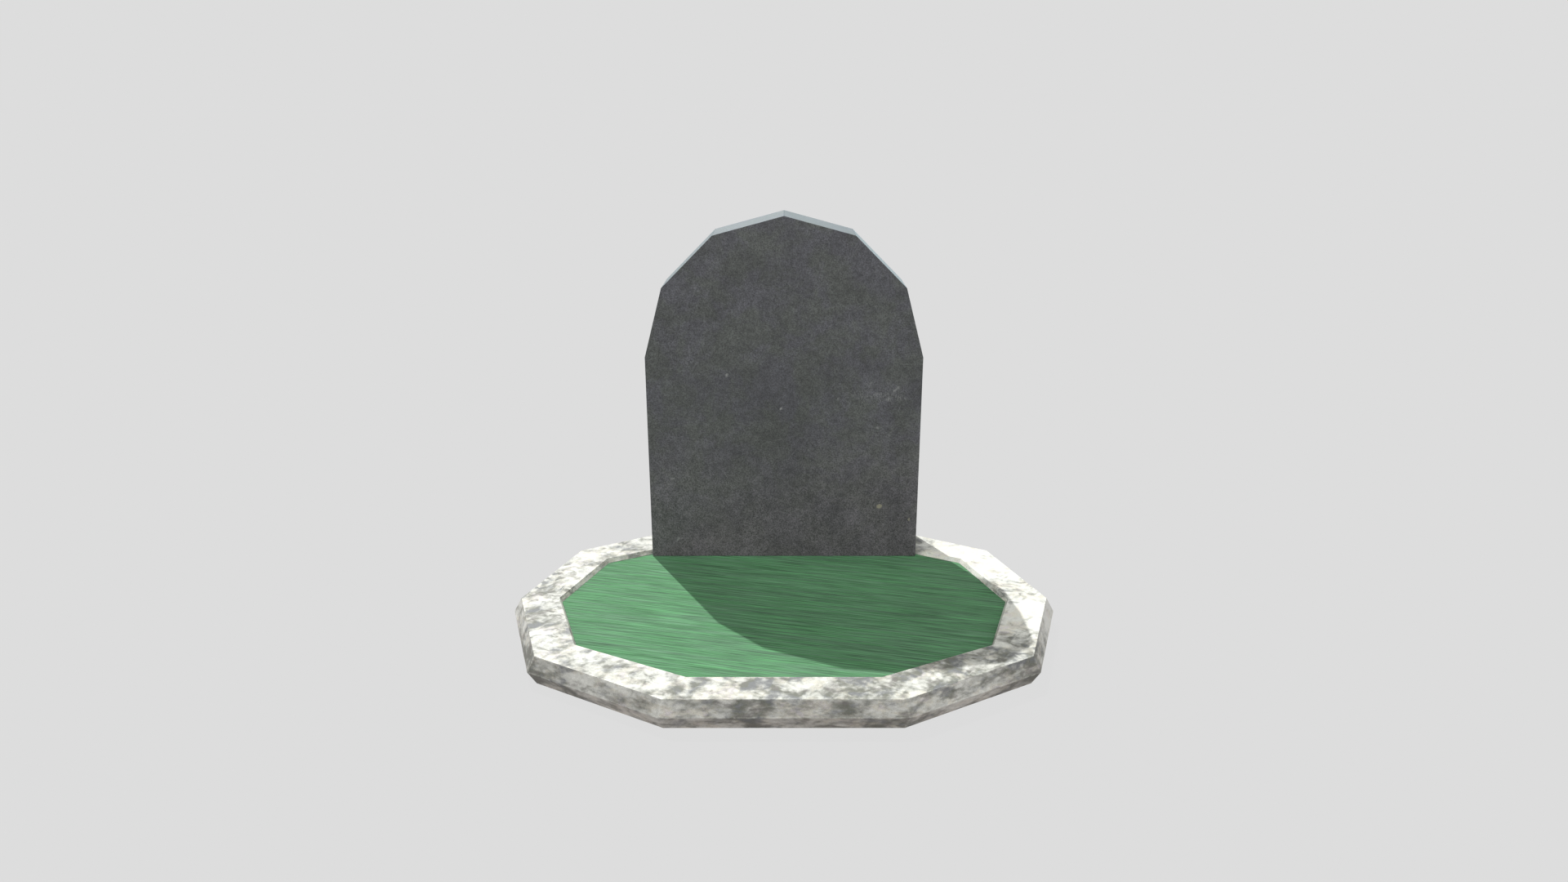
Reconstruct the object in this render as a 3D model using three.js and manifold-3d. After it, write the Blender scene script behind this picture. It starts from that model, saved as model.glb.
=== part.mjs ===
// A round-topped headstone of dark slate, standing on a low ten-sided granite kerb that is filled with a
// green bed. Millimetres, +Z up, +Y towards the back of the stone. The origin is on the floor, under the
// middle of the kerb.
import * as THREE from 'three';
import { mergeVertices } from 'three/addons/utils/BufferGeometryUtils.js';
import Module from 'manifold-3d';

// Slab: one upright stone with straight sides and a round top worked in flat facets.
const slabWidth = 600;
const slabThickness = 120;
const slabSpringHeight = 465; // foot of the slab to where the round top begins
const roundTopFacets = 6;
const lipBehindSlab = 38; // top of the kerb left standing behind the slab's foot

// Kerb, top face: the outer corners of one quarter of the ring, from the middle of the kerb.
const kerbSideHalfLength = 211; // half of the straight front and back sides
const kerbHalfDepth = 390.5; // middle to the straight front and back sides
const kerbShoulderAlong = 464.5; // middle to the corner between a slanting side and an end side, along X
const kerbShoulderAcross = 241.5; // the same corner along Y
const kerbHalfLength = 545; // middle to the corner at each end

// Kerb, top face: how far each inner corner stands in from its outer corner.
const sideTopWidth = 74.5;
const sideCornerStep = 34.5; // along X, at the corner where a straight side ends
const shoulderStepAlong = 65.5;
const shoulderStepAcross = 44;
const endTopWidth = 78.5;

// Kerb, section: the outer face is chamfered out to a nose and then back under to the floor.
const kerbHeight = 57.5;
const noseHeight = 27;
const sideNoseDepth = 11.5; // how far the nose stands out from the top arris, square to each side
const slantNoseDepth = 13.5;
const endNoseDepth = 16;
const kerbRise = 9.5; // top of the kerb above the bed
const innerChamferAngle = 30; // lean of the inner chamfer from upright, in degrees

// Clearances.
const beddingJoint = 0.3; // all round the slab's foot, and under it
const bedClearance = 0.5; // between the bed and the inside of the kerb

const bedLevel = kerbHeight - kerbRise;
const slabBack = kerbHalfDepth - lipBehindSlab;

// The kerb's sides in the order in which its outline runs, from the right-hand end towards the back.
const backHalfSides = ['end', 'slant', 'side', 'slant', 'end'];
const sideKinds = [...backHalfSides, ...backHalfSides];

// One quarter's corners, from the end to the straight side, mirrored into the whole outline.
function wholeOutline(quarter) {
  const [end, ...rest] = quarter.map(([x, y]) => new THREE.Vector2(x, y));
  const turned = (corner, x, y) => new THREE.Vector2(corner.x * x, corner.y * y);
  const backwards = [...rest].reverse();
  return [
    end,
    ...rest,
    ...backwards.map((corner) => turned(corner, -1, 1)),
    turned(end, -1, 1),
    ...rest.map((corner) => turned(corner, -1, -1)),
    ...backwards.map((corner) => turned(corner, 1, -1)),
  ];
}

// Moves every side of an outline outwards by its own depth and mitres the corners again.
function moveSides(outline, depths) {
  const sides = outline.map((start, i) => {
    const along = outline[(i + 1) % outline.length].clone().sub(start).normalize();
    const outwards = new THREE.Vector2(along.y, -along.x);
    return { outwards, reach: start.dot(outwards) + depths[i] };
  });
  return sides.map((after, i) => {
    const before = sides[(i + sides.length - 1) % sides.length];
    const turn = before.outwards.cross(after.outwards);
    return new THREE.Vector2(
      (before.reach * after.outwards.y - after.reach * before.outwards.y) / turn,
      (after.reach * before.outwards.x - before.reach * after.outwards.x) / turn,
    );
  });
}

// A closed ring whose section has one corner on each level: an outline and its height.
function ringGeometry(levels) {
  const corners = levels[0].outline.length;
  const positions = levels.flatMap(({ outline, z }) => outline.flatMap(({ x, y }) => [x, y, z]));
  const faces = [];
  for (let level = 0; level < levels.length; level += 1) {
    const here = level * corners;
    const next = ((level + 1) % levels.length) * corners;
    for (let i = 0; i < corners; i += 1) {
      const j = (i + 1) % corners;
      faces.push(here + i, here + j, next + j, here + i, next + j, next + i);
    }
  }
  const geometry = new THREE.BufferGeometry();
  geometry.setAttribute('position', new THREE.Float32BufferAttribute(positions, 3));
  geometry.setIndex(faces);
  return geometry;
}

const wasm = await Module();
wasm.setup();

// Turns a geometry into a solid for cutting, with its shared corners merged.
function toSolid(geometry) {
  const bare = geometry.clone();
  bare.deleteAttribute('normal');
  bare.deleteAttribute('uv');
  const merged = mergeVertices(bare);
  return new wasm.Manifold(new wasm.Mesh({
    numProp: 3,
    vertProperties: new Float32Array(merged.attributes.position.array),
    triVerts: new Uint32Array(merged.index.array),
  }));
}

function cutFrom(geometry, cutter) {
  const mesh = toSolid(geometry).subtract(toSolid(cutter)).getMesh();
  const result = new THREE.BufferGeometry();
  result.setAttribute('position', new THREE.BufferAttribute(new Float32Array(mesh.vertProperties), 3));
  result.setIndex(new THREE.BufferAttribute(new Uint32Array(mesh.triVerts), 1));
  return result;
}

// Slab: its front outline stands upright, and its thickness runs back from the front face.
function slabGeometry() {
  const halfWidth = slabWidth / 2;
  const outline = new THREE.Shape();
  outline.moveTo(-halfWidth, 0);
  outline.lineTo(halfWidth, 0);
  for (let i = 0; i <= roundTopFacets; i += 1) {
    const angle = (Math.PI * i) / roundTopFacets;
    outline.lineTo(halfWidth * Math.cos(angle), slabSpringHeight + halfWidth * Math.sin(angle));
  }
  outline.closePath();
  return new THREE.ExtrudeGeometry(outline, { depth: slabThickness, bevelEnabled: false });
}

const topOuter = wholeOutline([
  [kerbHalfLength, 0],
  [kerbShoulderAlong, kerbShoulderAcross],
  [kerbSideHalfLength, kerbHalfDepth],
]);
const topInner = wholeOutline([
  [kerbHalfLength - endTopWidth, 0],
  [kerbShoulderAlong - shoulderStepAlong, kerbShoulderAcross - shoulderStepAcross],
  [kerbSideHalfLength - sideCornerStep, kerbHalfDepth - sideTopWidth],
]);
const noseDepths = { end: endNoseDepth, slant: slantNoseDepth, side: sideNoseDepth };
const nose = moveSides(topOuter, sideKinds.map((kind) => noseDepths[kind]));
const innerChamferDepth = kerbRise * Math.tan(THREE.MathUtils.degToRad(innerChamferAngle));
const insideWall = moveSides(topInner, sideKinds.map(() => -innerChamferDepth));
const bedEdge = moveSides(insideWall, sideKinds.map(() => -bedClearance));

// Kerb: one ring of stone. Its back is checked down to the level of the bed to take the slab's foot.
function kerbGeometry() {
  const ring = ringGeometry([
    { outline: topOuter, z: 0 },
    { outline: nose, z: noseHeight },
    { outline: topOuter, z: kerbHeight },
    { outline: topInner, z: kerbHeight },
    { outline: insideWall, z: bedLevel },
    { outline: insideWall, z: 0 },
  ]);
  // The cutter for the check starts at the bed's level and passes out through the top of the kerb.
  const check = new THREE.BoxGeometry(
    slabWidth + 2 * beddingJoint,
    slabThickness + 2 * beddingJoint,
    kerbHeight,
  );
  check.translate(0, slabBack - slabThickness / 2, bedLevel + kerbHeight / 2);
  return cutFrom(ring, check);
}

// Bed: fills the kerb from the floor to its own level surface, on which the slab's front part stands.
function bedGeometry() {
  return new THREE.ExtrudeGeometry(new THREE.Shape(bedEdge), { depth: bedLevel, bevelEnabled: false });
}

const slateFinish = new THREE.MeshStandardMaterial({ color: 0x55575a, roughness: 0.6, metalness: 0 });
const graniteFinish = new THREE.MeshStandardMaterial({ color: 0xdad9d2, roughness: 0.5, metalness: 0 });
const greenFinish = new THREE.MeshStandardMaterial({ color: 0x6aa078, roughness: 0.9, metalness: 0 });

const slab = new THREE.Mesh(slabGeometry(), slateFinish);
slab.name = 'headstone_slab';
slab.rotation.x = Math.PI / 2;
slab.position.set(0, slabBack, bedLevel + beddingJoint);

const kerb = new THREE.Mesh(kerbGeometry(), graniteFinish);
kerb.name = 'granite_kerb';

const bed = new THREE.Mesh(bedGeometry(), greenFinish);
bed.name = 'green_bed';

const headstone = new THREE.Group();
headstone.add(kerb, bed, slab);

export default headstone;
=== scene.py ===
from math import radians

import bmesh
import bpy
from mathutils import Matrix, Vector


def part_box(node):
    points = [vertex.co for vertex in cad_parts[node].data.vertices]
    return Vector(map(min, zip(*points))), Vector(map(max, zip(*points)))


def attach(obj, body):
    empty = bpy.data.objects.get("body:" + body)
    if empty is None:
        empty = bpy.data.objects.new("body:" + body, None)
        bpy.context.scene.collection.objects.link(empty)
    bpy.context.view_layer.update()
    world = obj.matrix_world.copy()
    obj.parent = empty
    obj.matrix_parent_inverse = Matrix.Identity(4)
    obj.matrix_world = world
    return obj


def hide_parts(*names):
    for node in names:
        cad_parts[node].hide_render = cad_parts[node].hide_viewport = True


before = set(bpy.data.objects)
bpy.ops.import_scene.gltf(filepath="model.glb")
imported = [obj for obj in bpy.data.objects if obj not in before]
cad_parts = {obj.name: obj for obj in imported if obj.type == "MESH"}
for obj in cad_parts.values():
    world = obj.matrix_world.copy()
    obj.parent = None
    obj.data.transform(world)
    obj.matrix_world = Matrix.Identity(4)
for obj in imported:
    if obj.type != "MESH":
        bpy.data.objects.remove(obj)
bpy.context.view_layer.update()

# The camera stands two metres in front of the kerb's middle, a little higher than the stone, and looks
# down on it. All sizes in this file are in metres, but for the camera's lens and film in millimetres.
camera_place = (0, -2.0029, 1.0500)
camera_pitch = radians(17.979)
camera_lens = 24.444
camera_film_width = 36
camera_reach = 200

camera_data = bpy.data.cameras.new("camera")
camera_data.sensor_width = camera_film_width
camera_data.lens = camera_lens
camera_data.clip_end = camera_reach
camera = bpy.data.objects.new("camera", camera_data)
camera.location = camera_place
camera.rotation_euler = (radians(90) - camera_pitch, 0, 0)
bpy.context.scene.collection.objects.link(camera)
bpy.context.scene.camera = camera
bpy.context.scene.view_settings.view_transform = "Standard"

# The studio: one even pale tone all round, one lamp high behind the stone and to its left, whose shadow
# falls forwards to the right over the bed, and two broad soft lights from the front.
studio_tone = 0.723
lamp_direction = (-0.2835, 0.548, 0.788)
lamp_strength = 4.6
lamp_width = radians(0.5)
soft_light_directions = ((-0.60, -0.64, 0.48), (0.60, -0.64, 0.48))
soft_light_strength = 0.85
soft_light_width = radians(70)

world = bpy.data.worlds.new("studio")
world.use_nodes = True
backdrop = world.node_tree.nodes["Background"]
backdrop.inputs["Color"].default_value = (studio_tone, studio_tone, studio_tone, 1)
backdrop.inputs["Strength"].default_value = 1
bpy.context.scene.world = world


def add_lamp(name, direction, strength, width):
    """A far lamp in that direction as seen from the stone; its width sets how soft its shadows are."""
    data = bpy.data.lights.new(name, "SUN")
    data.energy = strength
    data.angle = width
    lamp = bpy.data.objects.new(name, data)
    lamp.rotation_euler = Vector(direction).to_track_quat("Z", "Y").to_euler()
    bpy.context.scene.collection.objects.link(lamp)


add_lamp("high_lamp", lamp_direction, lamp_strength, lamp_width)
for side, direction in zip(("left", "right"), soft_light_directions):
    add_lamp(f"soft_light_{side}", direction, soft_light_strength, soft_light_width)

# The floor is a wide plain sheet of the studio's own tone. Nearly all of its tone is its own glow, so that
# it joins the backdrop without a line and hardly takes a shadow.
floor_half_size = 80
floor_depth = 0.0005
floor_reflectance = 0.008
floor_glow = 0.706


def add_node(tree, kind, inputs=None, **settings):
    """Adds a shader node, sets it up, and sets or links its inputs by name or number."""
    made = tree.nodes.new(kind)
    for name, value in settings.items():
        setattr(made, name, value)
    for name, value in (inputs or {}).items():
        if isinstance(value, bpy.types.NodeSocket):
            tree.links.new(value, made.inputs[name])
        else:
            made.inputs[name].default_value = value
    return made


def finished_piece(name, mesh, material):
    """Turns a bmesh into an object with its material, and puts it in the scene."""
    data = bpy.data.meshes.new(name)
    mesh.to_mesh(data)
    mesh.free()
    data.materials.append(material)
    piece = bpy.data.objects.new(name, data)
    bpy.context.scene.collection.objects.link(piece)
    return piece


floor_finish = bpy.data.materials.new("floor_finish")
floor_finish.use_nodes = True
floor_tree = floor_finish.node_tree
floor_tree.nodes.clear()
floor_paint = add_node(floor_tree, "ShaderNodeBsdfDiffuse", {"Color": (floor_reflectance,) * 3 + (1,)})
floor_light = add_node(floor_tree, "ShaderNodeEmission", {"Color": (floor_glow,) * 3 + (1,), "Strength": 1})
floor_mix = add_node(
    floor_tree, "ShaderNodeAddShader", {0: floor_paint.outputs[0], 1: floor_light.outputs[0]})
add_node(floor_tree, "ShaderNodeOutputMaterial", {"Surface": floor_mix.outputs[0]})

floor_mesh = bmesh.new()
bmesh.ops.create_grid(floor_mesh, x_segments=1, y_segments=1, size=floor_half_size)
bmesh.ops.translate(floor_mesh, verts=floor_mesh.verts, vec=(0, 0, -floor_depth))
floor = finished_piece("floor", floor_mesh, floor_finish)

# The kerb is one ring of pale granite, sawn and then ground flat, with its arrises eased by hand. It
# lies on the ground by its own weight, holds the bed, and is checked at the back for the headstone.
kerb_arris = 0.0015
arris_segments = 2
worn_band = 0.006
merge_distance = 0.00002
flat_angle = radians(1)
sharp_angle = radians(8)

granite_white = (0.585, 0.592, 0.540, 1)
granite_cream = (0.575, 0.560, 0.470, 1)
granite_rose = (0.545, 0.520, 0.505, 1)
granite_grey_green = (0.117, 0.122, 0.096, 1)
granite_grey = (0.128, 0.124, 0.111, 1)
granite_grey_blue = (0.128, 0.134, 0.134, 1)
# How much of the stone's colour each kind of face keeps under its painted shade: all of it on the top, less
# on the outer faces, least and a little browner on the undercut.
granite_top_tone = (1, 1, 1, 1)
granite_outer_painted_shade = (0.85, 0.835, 0.85, 1)
granite_undercut_painted_shade = (0.68, 0.63, 0.63, 1)
granite_mica = (0.060, 0.060, 0.055, 1)

# How much shade is painted on a face, and which pattern it gets, goes by how far it looks up: 1 is straight
# up, and -1 is straight down.
top_facing = (0.47, 0.49)
undercut_facing = (-0.2, 0.1)

# The granite's pattern lies in level layers, flatter than they are wide by the squash. It turns from round
# blots along the sides to short strokes at the ends, between two distances from the middle.
bedding_squash = 2.2
end_distances = (0.39, 0.47)

# How fine each layer of the granite's pattern is, in features per metre.
cloud_fineness = 15
swing_fineness = 20
blotch_fineness = 22
swirl_fineness = 24
pale_tint_fineness = 26
grey_tint_fineness = 30
blot_fineness = 31
speck_fineness = 72
cell_fineness = 78
wear_fineness = 90
mica_fineness = 460
crystal_fineness = 520
grain_fineness = 900

# How far the swirls bend the strokes, and each stroke's direction in degrees, its length and its width.
swirl_reach = 0.04
first_strokes = (48, 0.046, 0.0130)
second_strokes = (-30, 0.042, 0.0120)

# Where the kerb's stone runs darker or paler than the rest, on its top and on its outer faces, and where its
# larger crystals show. The patch at (0.335, 0.300), beside the slab's foot at the back, is painted shade
# where a wedge of shadow lies. Each patch has a centre, a radius and an amount, which is full over its core.
patch_core = 0.3
granite_tone_and_painted_shade_patches = (
    ((-0.045, -0.35, 0), 0.085, 0.12), ((0.150, -0.35, 0), 0.12, 0.14), ((0.33, -0.28, 0), 0.14, 0.03),
    ((-0.51, -0.06, 0), 0.16, 0.25), ((-0.44, 0.15, 0), 0.12, -0.08), ((-0.30, 0.32, 0), 0.10, -0.08),
    ((0.335, 0.300, 0), 0.05, 0.30), ((-0.16, -0.36, 0), 0.10, 0.16), ((0.42, 0.18, 0), 0.18, -0.53),
    ((0.50, -0.08, 0), 0.15, -0.46), ((-0.064, -0.346, 0.057), 0.022, 0.42),
    ((-0.190, -0.360, 0.057), 0.022, 0.32), ((-0.020, -0.345, 0.057), 0.030, 0.28))
outer_patches = (
    ((0.44, -0.27, 0), 0.08, 0.22), ((-0.08, -0.40, 0), 0.06, 0.08), ((-0.50, -0.20, 0), 0.10, 0.16),
    ((-0.17, -0.39, 0), 0.08, -0.12), ((0.55, 0.00, 0), 0.20, -0.52), ((0.32, -0.33, 0), 0.12, -0.24),
    ((-0.36, -0.33, 0.06), 0.09, -0.26), ((0.09, -0.39, 0), 0.15, 0.05), ((-0.41, -0.30, 0), 0.14, 0.20))
crystal_patches = (
    ((0.28, -0.31, 0.03), 0.13, 0.9), ((-0.03, -0.35, 0.057), 0.11, 0.8), ((0.15, -0.35, 0.057), 0.10, 0.6),
    ((0.44, -0.27, 0), 0.12, 0.6))


def link_ramp(tree, factor, stops):
    """A colour ramp with the given stops, each a position and a colour."""
    ramp = add_node(tree, "ShaderNodeValToRGB", {"Fac": factor})
    elements = ramp.color_ramp.elements
    while len(elements) < len(stops):
        elements.new(0.5)
    for element, (position, colour) in zip(elements, stops):
        element.position = position
        element.color = colour
    return ramp.outputs["Color"]


def noise(tree, place, scale, detail=6.0, roughness=0.6, distortion=0.0):
    """Fractal noise around 0.5, read at a place."""
    inputs = {"Vector": place, "Scale": scale, "Detail": detail, "Roughness": roughness,
              "Distortion": distortion}
    return add_node(tree, "ShaderNodeTexNoise", inputs).outputs["Fac"]


def maths(tree, operation, first, second):
    """One step of arithmetic on values."""
    return add_node(tree, "ShaderNodeMath", {0: first, 1: second}, operation=operation).outputs[0]


def mix_colours(tree, factor, first, second, blend="MIX"):
    """The first colour, with the second laid over it by the factor."""
    inputs = {0: factor, 6: first, 7: second}
    return add_node(tree, "ShaderNodeMix", inputs, data_type="RGBA", blend_type=blend).outputs[2]


def new_finish(name, slots):
    """A material with a shader whose plain values are given, its tree, and the place on the piece."""
    finish = bpy.data.materials.new(name)
    finish.use_nodes = True
    shader = finish.node_tree.nodes["Principled BSDF"]
    for slot, value in slots.items():
        shader.inputs[slot].default_value = value
    place = add_node(finish.node_tree, "ShaderNodeTexCoord").outputs["Object"]
    return finish, finish.node_tree, shader, place


def sharp_edges(stone):
    """The edges at which a stone's flat faces meet."""
    return [edge for edge in stone.edges if edge.calc_face_angle() > sharp_angle]


def eased_stone(node, arris):
    """A copy of a CAD solid whose flat faces have a narrow band all round, and whose arrises are eased."""
    stone = bmesh.new()
    stone.from_mesh(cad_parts[node].data)
    bmesh.ops.remove_doubles(stone, verts=stone.verts, dist=merge_distance)
    bmesh.ops.dissolve_limit(
        stone, angle_limit=flat_angle, verts=stone.verts, edges=stone.edges, use_dissolve_boundaries=False)
    worn = stone.verts.layers.float.new("arris")
    bmesh.ops.split_edges(stone, edges=sharp_edges(stone))
    bmesh.ops.inset_region(
        stone, faces=stone.faces, thickness=worn_band, use_boundary=True, use_even_offset=True)
    bmesh.ops.remove_doubles(stone, verts=stone.verts, dist=merge_distance)
    eased = bmesh.ops.bevel(
        stone, geom=sharp_edges(stone), offset=arris, offset_type="OFFSET", segments=arris_segments,
        profile=0.5, affect="EDGES", clamp_overlap=True, material=-1)
    for vertex in eased["verts"]:
        vertex[worn] = 1
    bmesh.ops.dissolve_degenerate(stone, dist=merge_distance, edges=stone.edges)
    bmesh.ops.recalc_face_normals(stone, faces=stone.faces)
    return stone


def between(tree, value, low, high, to_low=0.0, to_high=1.0):
    """A smooth step: to_low up to the value low, to_high from the value high."""
    inputs = {"Value": value, "From Min": low, "From Max": high, "To Min": to_low, "To Max": to_high}
    return add_node(tree, "ShaderNodeMapRange", inputs, interpolation_type="SMOOTHSTEP").outputs[0]


def patches(tree, place, spots):
    """What the spots add at a place: each its own amount at its centre, easing to nothing at its rim."""
    result = 0.0
    for centre, radius, amount in spots:
        away = add_node(tree, "ShaderNodeVectorMath", {0: place, 1: centre}, operation="DISTANCE")
        amount = between(tree, away.outputs["Value"], patch_core * radius, radius, amount, 0)
        result = maths(tree, "ADD", result, amount)
    return result


def product(tree, *factors):
    """Several values multiplied together."""
    result = factors[0]
    for factor in factors[1:]:
        result = maths(tree, "MULTIPLY", result, factor)
    return result


def layered(tree, start, *layers):
    """A starting value with each layer added to it by the layer's own amount."""
    result = start
    for layer, amount in layers:
        result = maths(tree, "ADD", result, product(tree, layer, amount))
    return result


def scaled(tree, vector, amount):
    """A colour or a vector times a value."""
    inputs = {0: vector, "Scale": amount}
    return add_node(tree, "ShaderNodeVectorMath", inputs, operation="SCALE").outputs[0]


def shaken(tree, place, fineness, reach):
    """A place pushed about by noise, by up to the reach along each axis."""
    push = add_node(tree, "ShaderNodeTexNoise", {"Vector": place, "Scale": fineness, "Detail": 2})
    push = scaled(tree, push.outputs["Color"], reach)
    return add_node(tree, "ShaderNodeVectorMath", {0: place, 1: push}, operation="ADD").outputs[0]


def streaked(tree, place, angle, length, width, detail=3.0, roughness=0.6, distortion=0.2):
    """Noise drawn out across the plan along one direction, with streaks of that length and width."""
    inputs = {"Vector": place, "Rotation": (0, 0, radians(angle)), "Scale": (length, width, width)}
    drawn = add_node(tree, "ShaderNodeMapping", inputs, vector_type="TEXTURE").outputs[0]
    return noise(tree, drawn, 1, detail=detail, roughness=roughness, distortion=distortion)


def add_relief(tree, shader, height, strength, depth):
    """Gives a finish a slight relief after a pattern of heights."""
    relief = add_node(tree, "ShaderNodeBump", {"Height": height, "Strength": strength, "Distance": depth})
    tree.links.new(relief.outputs["Normal"], shader.inputs["Normal"])


granite, tree, shader, place = new_finish("granite", {"Specular IOR Level": 0.4})
normal = add_node(tree, "ShaderNodeNewGeometry").outputs["Normal"]
facing = add_node(tree, "ShaderNodeSeparateXYZ", {0: normal}).outputs["Z"]
on_top = between(tree, facing, *top_facing)
underneath = between(tree, facing, *undercut_facing, 1, 0)

# The layers of the pattern, each from 0 to about 1.
along = add_node(tree, "ShaderNodeSeparateXYZ", {0: place}).outputs["X"]
at_ends = between(tree, maths(tree, "ABSOLUTE", along, 0), *end_distances)
layers = add_node(tree, "ShaderNodeMapping", {"Vector": place, "Scale": (1, 1, bedding_squash)}).outputs[0]
bent = shaken(tree, layers, swirl_fineness, swirl_reach)
clouds = between(tree, noise(tree, layers, cloud_fineness, detail=2, roughness=0.5), 0.36, 0.64)
blots = noise(tree, layers, blot_fineness, detail=3, roughness=0.55, distortion=0.4)
blots = between(tree, blots, 0.37, 0.66)
one_way = between(tree, streaked(tree, bent, *first_strokes, detail=3, roughness=0.5), 0.38, 0.68)
other_way = between(tree, streaked(tree, bent, *second_strokes, detail=3, roughness=0.5), 0.38, 0.68)
swing = between(tree, noise(tree, layers, swing_fineness, detail=1), 0.42, 0.58)
strokes = layered(tree, 0.0, (one_way, swing), (other_way, maths(tree, "SUBTRACT", 1, swing)))
specks = between(tree, noise(tree, layers, speck_fineness, detail=3, roughness=0.6), 0.40, 0.68)
cells = {"Vector": layers, "Scale": cell_fineness, "Smoothness": 0.5}
cells = add_node(tree, "ShaderNodeTexVoronoi", cells, feature="SMOOTH_F1").outputs["Distance"]
cells = product(tree, between(tree, cells, 0.15, 0.60), patches(tree, place, crystal_patches))
blotches = noise(tree, layers, blotch_fineness, detail=3, roughness=0.5, distortion=0.3)
blotches = between(tree, blotches, 0.36, 0.68)

# How dark the stone is: crisp on the ground top, softer on the faces outside it.
fine = layered(
    tree, -0.01, (clouds, 0.30), (specks, 0.20), (cells, 0.30),
    (blots, layered(tree, 0.48, (at_ends, -0.26))), (strokes, layered(tree, 0.30, (at_ends, 0.28))),
    (patches(tree, place, granite_tone_and_painted_shade_patches), 1))
soft = layered(
    tree, 0.22, (blotches, 0.48), (clouds, 0.13), (specks, 0.20), (strokes, 0.14), (cells, 0.25),
    (patches(tree, place, outer_patches), 1))
dark = layered(tree, 0.0, (fine, on_top), (soft, maths(tree, "SUBTRACT", 1, on_top)))
dark = between(tree, dark, 0, 1.15)

grey_tints = noise(tree, layers, grey_tint_fineness, detail=4, distortion=0.5)
grey = link_ramp(
    tree, grey_tints, [(0.4, granite_grey), (0.5, granite_grey_green), (0.6, granite_grey_blue)])
pale_tints = noise(tree, layers, pale_tint_fineness, detail=5, roughness=0.65)
pale = link_ramp(tree, pale_tints, [(0.36, granite_rose), (0.43, granite_cream), (0.5, granite_white)])
colour = mix_colours(tree, dark, pale, grey)
crystals = noise(tree, place, crystal_fineness, detail=2, roughness=0.7)
colour = scaled(tree, colour, between(tree, crystals, 0.3, 0.7, 0.90, 1.10))
flecks = between(tree, noise(tree, place, mica_fineness, detail=1), 0.66, 0.72)
colour = mix_colours(tree, product(tree, flecks, 0.35), colour, granite_mica)
# Painted shade: the outer faces are painted darker, and the undercut darker still, by how far each face
# looks up.
painted_face_shade = mix_colours(tree, on_top, granite_outer_painted_shade, granite_top_tone)
painted_face_shade = mix_colours(tree, underneath, painted_face_shade, granite_undercut_painted_shade)
colour = mix_colours(tree, 1.0, colour, painted_face_shade, "MULTIPLY")
worn = add_node(tree, "ShaderNodeAttribute", attribute_name="arris").outputs["Fac"]
worn = product(tree, between(tree, worn, 0.5, 1), between(tree, noise(tree, place, wear_fineness), 0.4, 0.7))
colour = mix_colours(tree, product(tree, worn, 0.3), colour, granite_white)
tree.links.new(colour, shader.inputs["Base Color"])
dull = layered(tree, between(tree, dark, 0, 1, 0.42, 0.62), (worn, 0.15))
tree.links.new(dull, shader.inputs["Roughness"])
add_relief(tree, shader, noise(tree, place, grain_fineness, detail=3), strength=0.15, depth=0.001)

kerb = finished_piece("kerb_ring", eased_stone("granite_kerb", kerb_arris), granite)
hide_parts("granite_kerb")
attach(kerb, "root")

# The bed is close turf, combed one way, that fills the kerb level with a little of the kerb's edge left
# standing around it. It has grown up to the stone on all sides.
turf_bright = (0.068, 0.190, 0.084, 1)
turf_dull = (0.074, 0.156, 0.089, 1)
turf_comb_angle = -13.5
turf_spread = (1.0009, 1.0013, 1)

# The turf's streaks, each with its length and its width.
turf_fibres = (0.12, 0.0025)
turf_greens = (0.14, 0.005)
turf_gaps = (0.09, 0.006)
turf_strands = (0.20, 0.008)
turf_swathes = (0.40, 0.11)

# Where the turf is paler or darker than the rest: a centre, a radius, and by what share. The paler patch at
# the slab's foot is painted light that lifts the shade the slab throws on the turf; the darker one at the
# front only darkens the turf there.
turf_painted_light_and_tone_patches = (((0.06, 0.25, 0.05), 0.36, 0.22), ((0.02, -0.27, 0.05), 0.25, -0.06))

turf, tree, shader, place = new_finish("turf", {"Specular IOR Level": 0.2, "Roughness": 0.9})
fibres = streaked(tree, place, turf_comb_angle, *turf_fibres, roughness=0.75)
strands = streaked(tree, place, turf_comb_angle, *turf_strands)
swathes = streaked(tree, place, turf_comb_angle, *turf_swathes)
greens = streaked(tree, place, turf_comb_angle, *turf_greens)
gaps = streaked(tree, place, turf_comb_angle, *turf_gaps)
colour = mix_colours(tree, between(tree, greens, 0.36, 0.64), turf_dull, turf_bright)
# The turf's brightness, with painted light lifting it near the slab's foot.
light = product(
    tree, between(tree, fibres, 0.25, 0.75, 0.43, 1.58), between(tree, strands, 0.3, 0.7, 0.96, 1.04),
    between(tree, swathes, 0.3, 0.7, 0.95, 1.05), between(tree, gaps, 0.62, 0.72, 1, 0.92),
    layered(tree, 1, (patches(tree, place, turf_painted_light_and_tone_patches), 1)))
colour = scaled(tree, colour, light)
tree.links.new(colour, shader.inputs["Base Color"])
add_relief(tree, shader, fibres, strength=0.3, depth=0.001)

bed_mesh = bmesh.new()
bed_mesh.from_mesh(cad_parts["green_bed"].data)
bmesh.ops.remove_doubles(bed_mesh, verts=bed_mesh.verts, dist=merge_distance)
bmesh.ops.scale(bed_mesh, verts=bed_mesh.verts, vec=turf_spread)
bed = finished_piece("turf_bed", bed_mesh, turf)
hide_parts("green_bed")
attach(bed, "root")

# The headstone is one upright slab of dark slate with flat honed faces, whose arrises have weathered
# dull. Its foot stands on the bed and in the check at the back of the kerb.
slab_arris = 0.0007

slate_blue = (0.0550, 0.0555, 0.0628, 1)
slate_olive = (0.0534, 0.0573, 0.0537, 1)
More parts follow.
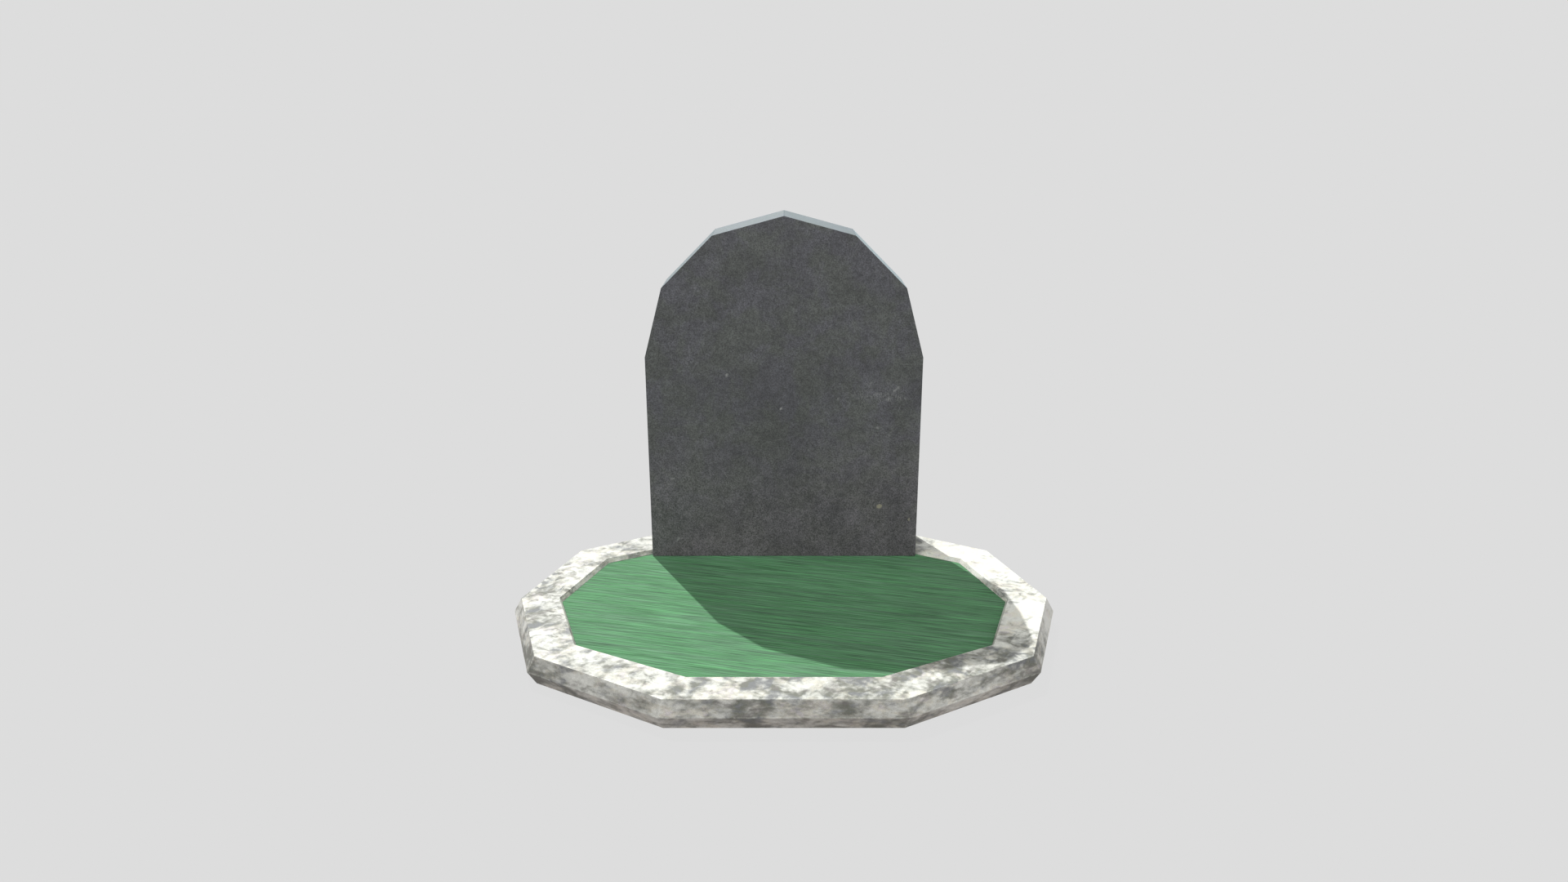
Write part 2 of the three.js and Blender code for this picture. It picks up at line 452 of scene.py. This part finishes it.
# Painted light: the slab's face is painted paler towards its foot, fading out by the given height, to lift
# the shade there.
slate_painted_light = (0.1010, 0.0900, 0.0975, 1)
slate_pale = (0.2000, 0.2050, 0.2000, 1)
slate_tan = (0.2300, 0.2150, 0.1600, 1)
painted_foot_light_start = 0.04
painted_foot_light_height = 0.42
painted_foot_light_strength = 0.70

# How fine each layer of the slate's pattern is, in features per metre.
pitted_fineness = 8
shade_fineness = 11
hue_fineness = 13
mottle_fineness = 75
chalk_fineness = 120
grains_fineness = 190
pit_fineness = 210
rim_fineness = 260
speckle_fineness = 380

# The natural marks lie in the front face. Noise pushes the rims of the pale and tan spots about, by up to
# half the reach either way.
slab_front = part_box("headstone_slab")[0].y
mark_depth = 0.004
rim_reach = 0.006

# Each mark has its place across and up the slab, its half length and half width, its slope in degrees,
# and how strongly it shows.
grain_areas = (
    (0.215, 0.428, 0.095, 0.034, 4, 1.0), (-0.231, 0.250, 0.034, 0.085, 12, 0.8),
    (0.236, 0.335, 0.050, 0.050, 0, 0.7), (-0.037, 0.750, 0.030, 0.022, 0, 0.9),
    (0.150, 0.150, 0.050, 0.028, 0, 0.4), (-0.200, 0.510, 0.085, 0.030, -35, 0.4),
    (-0.280, 0.640, 0.060, 0.050, 0, 0.4), (0.245, 0.600, 0.050, 0.035, 20, 0.5))
pale_marks = (
    (-0.124, 0.474, 0.0055, 0.0032, 60, 0.8), (-0.007, 0.399, 0.0062, 0.0026, 50, 0.9),
    (0.244, 0.443, 0.0140, 0.0038, 45, 0.5), (0.228, 0.422, 0.0072, 0.0034, 85, 0.5),
    (0.264, 0.422, 0.0060, 0.0022, -50, 0.4), (0.189, 0.457, 0.0060, 0.0034, 30, 0.35),
    (0.206, 0.355, 0.0044, 0.0036, 0, 0.5), (0.118, 0.422, 0.0036, 0.0024, 40, 0.4),
    (-0.240, 0.090, 0.0080, 0.0030, 50, 0.6), (-0.249, 0.236, 0.0070, 0.0030, 15, 0.4))
tan_marks = ((0.214, 0.170, 0.0078, 0.0062, 20, 0.9), (0.282, 0.138, 0.0046, 0.0028, 80, 0.7))
scratches = (
    (-0.010, 0.328, 0.0130, 0.0009, 12, 0.4), (0.005, 0.160, 0.0120, 0.0009, -8, 0.4),
    (-0.135, 0.105, 0.0090, 0.0012, -30, 0.5), (-0.130, 0.245, 0.0150, 0.0010, -62, 0.4),
    (-0.118, 0.218, 0.0110, 0.0010, -50, 0.4), (-0.160, 0.275, 0.0160, 0.0009, 25, 0.3),
    (0.188, 0.440, 0.0100, 0.0014, 70, 0.3), (0.252, 0.398, 0.0140, 0.0010, 70, 0.3))
tick_areas = ((0.222, 0.426, 0.060, 0.013, -3, 1.0), (0.165, 0.430, 0.026, 0.011, -8, 0.9))
tick_size = (0.0026, 0.0026, 0.0085)


def marks(tree, place, areas, edge):
    """1 inside any of the marks on the slab's front; each fades out from the edge, a share of its size."""
    result = 0.0
    for across, up, half_length, half_width, slope, strength in areas:
        inputs = {"Vector": place, "Location": (across, slab_front, up), "Rotation": (0, radians(-slope), 0),
                  "Scale": (half_length, mark_depth, half_width)}
        local = add_node(tree, "ShaderNodeMapping", inputs, vector_type="TEXTURE").outputs[0]
        away = add_node(tree, "ShaderNodeVectorMath", {0: local}, operation="LENGTH").outputs["Value"]
        result = maths(tree, "MAXIMUM", result, between(tree, away, edge, 1, strength, 0))
    return result


slate, tree, shader, place = new_finish(
    "slate", {"Sheen Weight": 0.34, "Sheen Roughness": 0.35, "Sheen Tint": (0.68, 0.93, 1.0, 1)})
hues = noise(tree, place, hue_fineness, detail=6, roughness=0.65, distortion=0.4)
colour = mix_colours(tree, between(tree, hues, 0.40, 0.60), slate_olive, slate_blue)
height = add_node(tree, "ShaderNodeSeparateXYZ", {0: place}).outputs["Z"]
# Painted light at the foot: the face is mixed towards a paler colour low down, lifting the shade there.
painted_foot_light = between(tree, height, painted_foot_light_start, painted_foot_light_height, painted_foot_light_strength, 0.0)
colour = mix_colours(tree, painted_foot_light, colour, slate_painted_light)
shades = between(tree, noise(tree, place, shade_fineness, detail=6, roughness=0.62), 0.3, 0.7, 0.83, 1.17)
mottles = between(tree, noise(tree, place, mottle_fineness, detail=4, roughness=0.7), 0.3, 0.7, 0.80, 1.20)
speckle = noise(tree, place, speckle_fineness, detail=2, roughness=0.8)
speckle = between(tree, speckle, 0.25, 0.75, 0.45, 1.62)
pitted = between(tree, noise(tree, place, pitted_fineness, detail=3), 0.46, 0.62)
pits = between(tree, noise(tree, place, pit_fineness, detail=3, roughness=0.75), 0.34, 0.43, 0.5, 0.0)
unpitted = maths(tree, "SUBTRACT", 1, product(tree, pits, pitted))
colour = scaled(tree, colour, product(tree, shades, mottles, speckle, unpitted))

# The natural marks in the front face: grainy areas, short ticks, spots and scratches.
grains = noise(tree, place, grains_fineness, detail=4, roughness=0.72)
grains = product(tree, between(tree, grains, 0.50, 0.68, 0, 0.26), marks(tree, place, grain_areas, 0.1))
colour = mix_colours(tree, grains, colour, slate_pale)
ticks = add_node(tree, "ShaderNodeMapping", {"Vector": place, "Scale": tick_size}, vector_type="TEXTURE")
ticks = between(tree, noise(tree, ticks.outputs[0], 1, detail=1), 0.52, 0.66, 0, 0.36)
ticks = product(tree, ticks, marks(tree, place, tick_areas, 0.5))
colour = mix_colours(tree, ticks, colour, slate_pale)
ragged = {0: shaken(tree, place, rim_fineness, rim_reach), 1: (rim_reach / 2,) * 3}
ragged = add_node(tree, "ShaderNodeVectorMath", ragged, operation="SUBTRACT").outputs[0]
colour = mix_colours(tree, marks(tree, ragged, pale_marks, 0.4), colour, slate_pale)
colour = mix_colours(tree, marks(tree, ragged, tan_marks, 0.6), colour, slate_tan)
colour = mix_colours(tree, marks(tree, place, scratches, 0.2), colour, slate_pale)

worn = add_node(tree, "ShaderNodeAttribute", attribute_name="arris").outputs["Fac"]
worn = between(tree, worn, 0.85, 1)
chalky = between(tree, noise(tree, place, chalk_fineness), 0.4, 0.7)
colour = mix_colours(tree, product(tree, worn, chalky, 0.12), colour, slate_pale)
tree.links.new(colour, shader.inputs["Base Color"])
dull = layered(tree, between(tree, speckle, 0.5, 1.5, 0.32, 0.40), (worn, 0.5))
tree.links.new(dull, shader.inputs["Roughness"])
add_relief(tree, shader, speckle, strength=0.1, depth=0.0005)

slab = finished_piece("slate_slab", eased_stone("headstone_slab", slab_arris), slate)
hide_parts("headstone_slab")
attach(slab, "root")
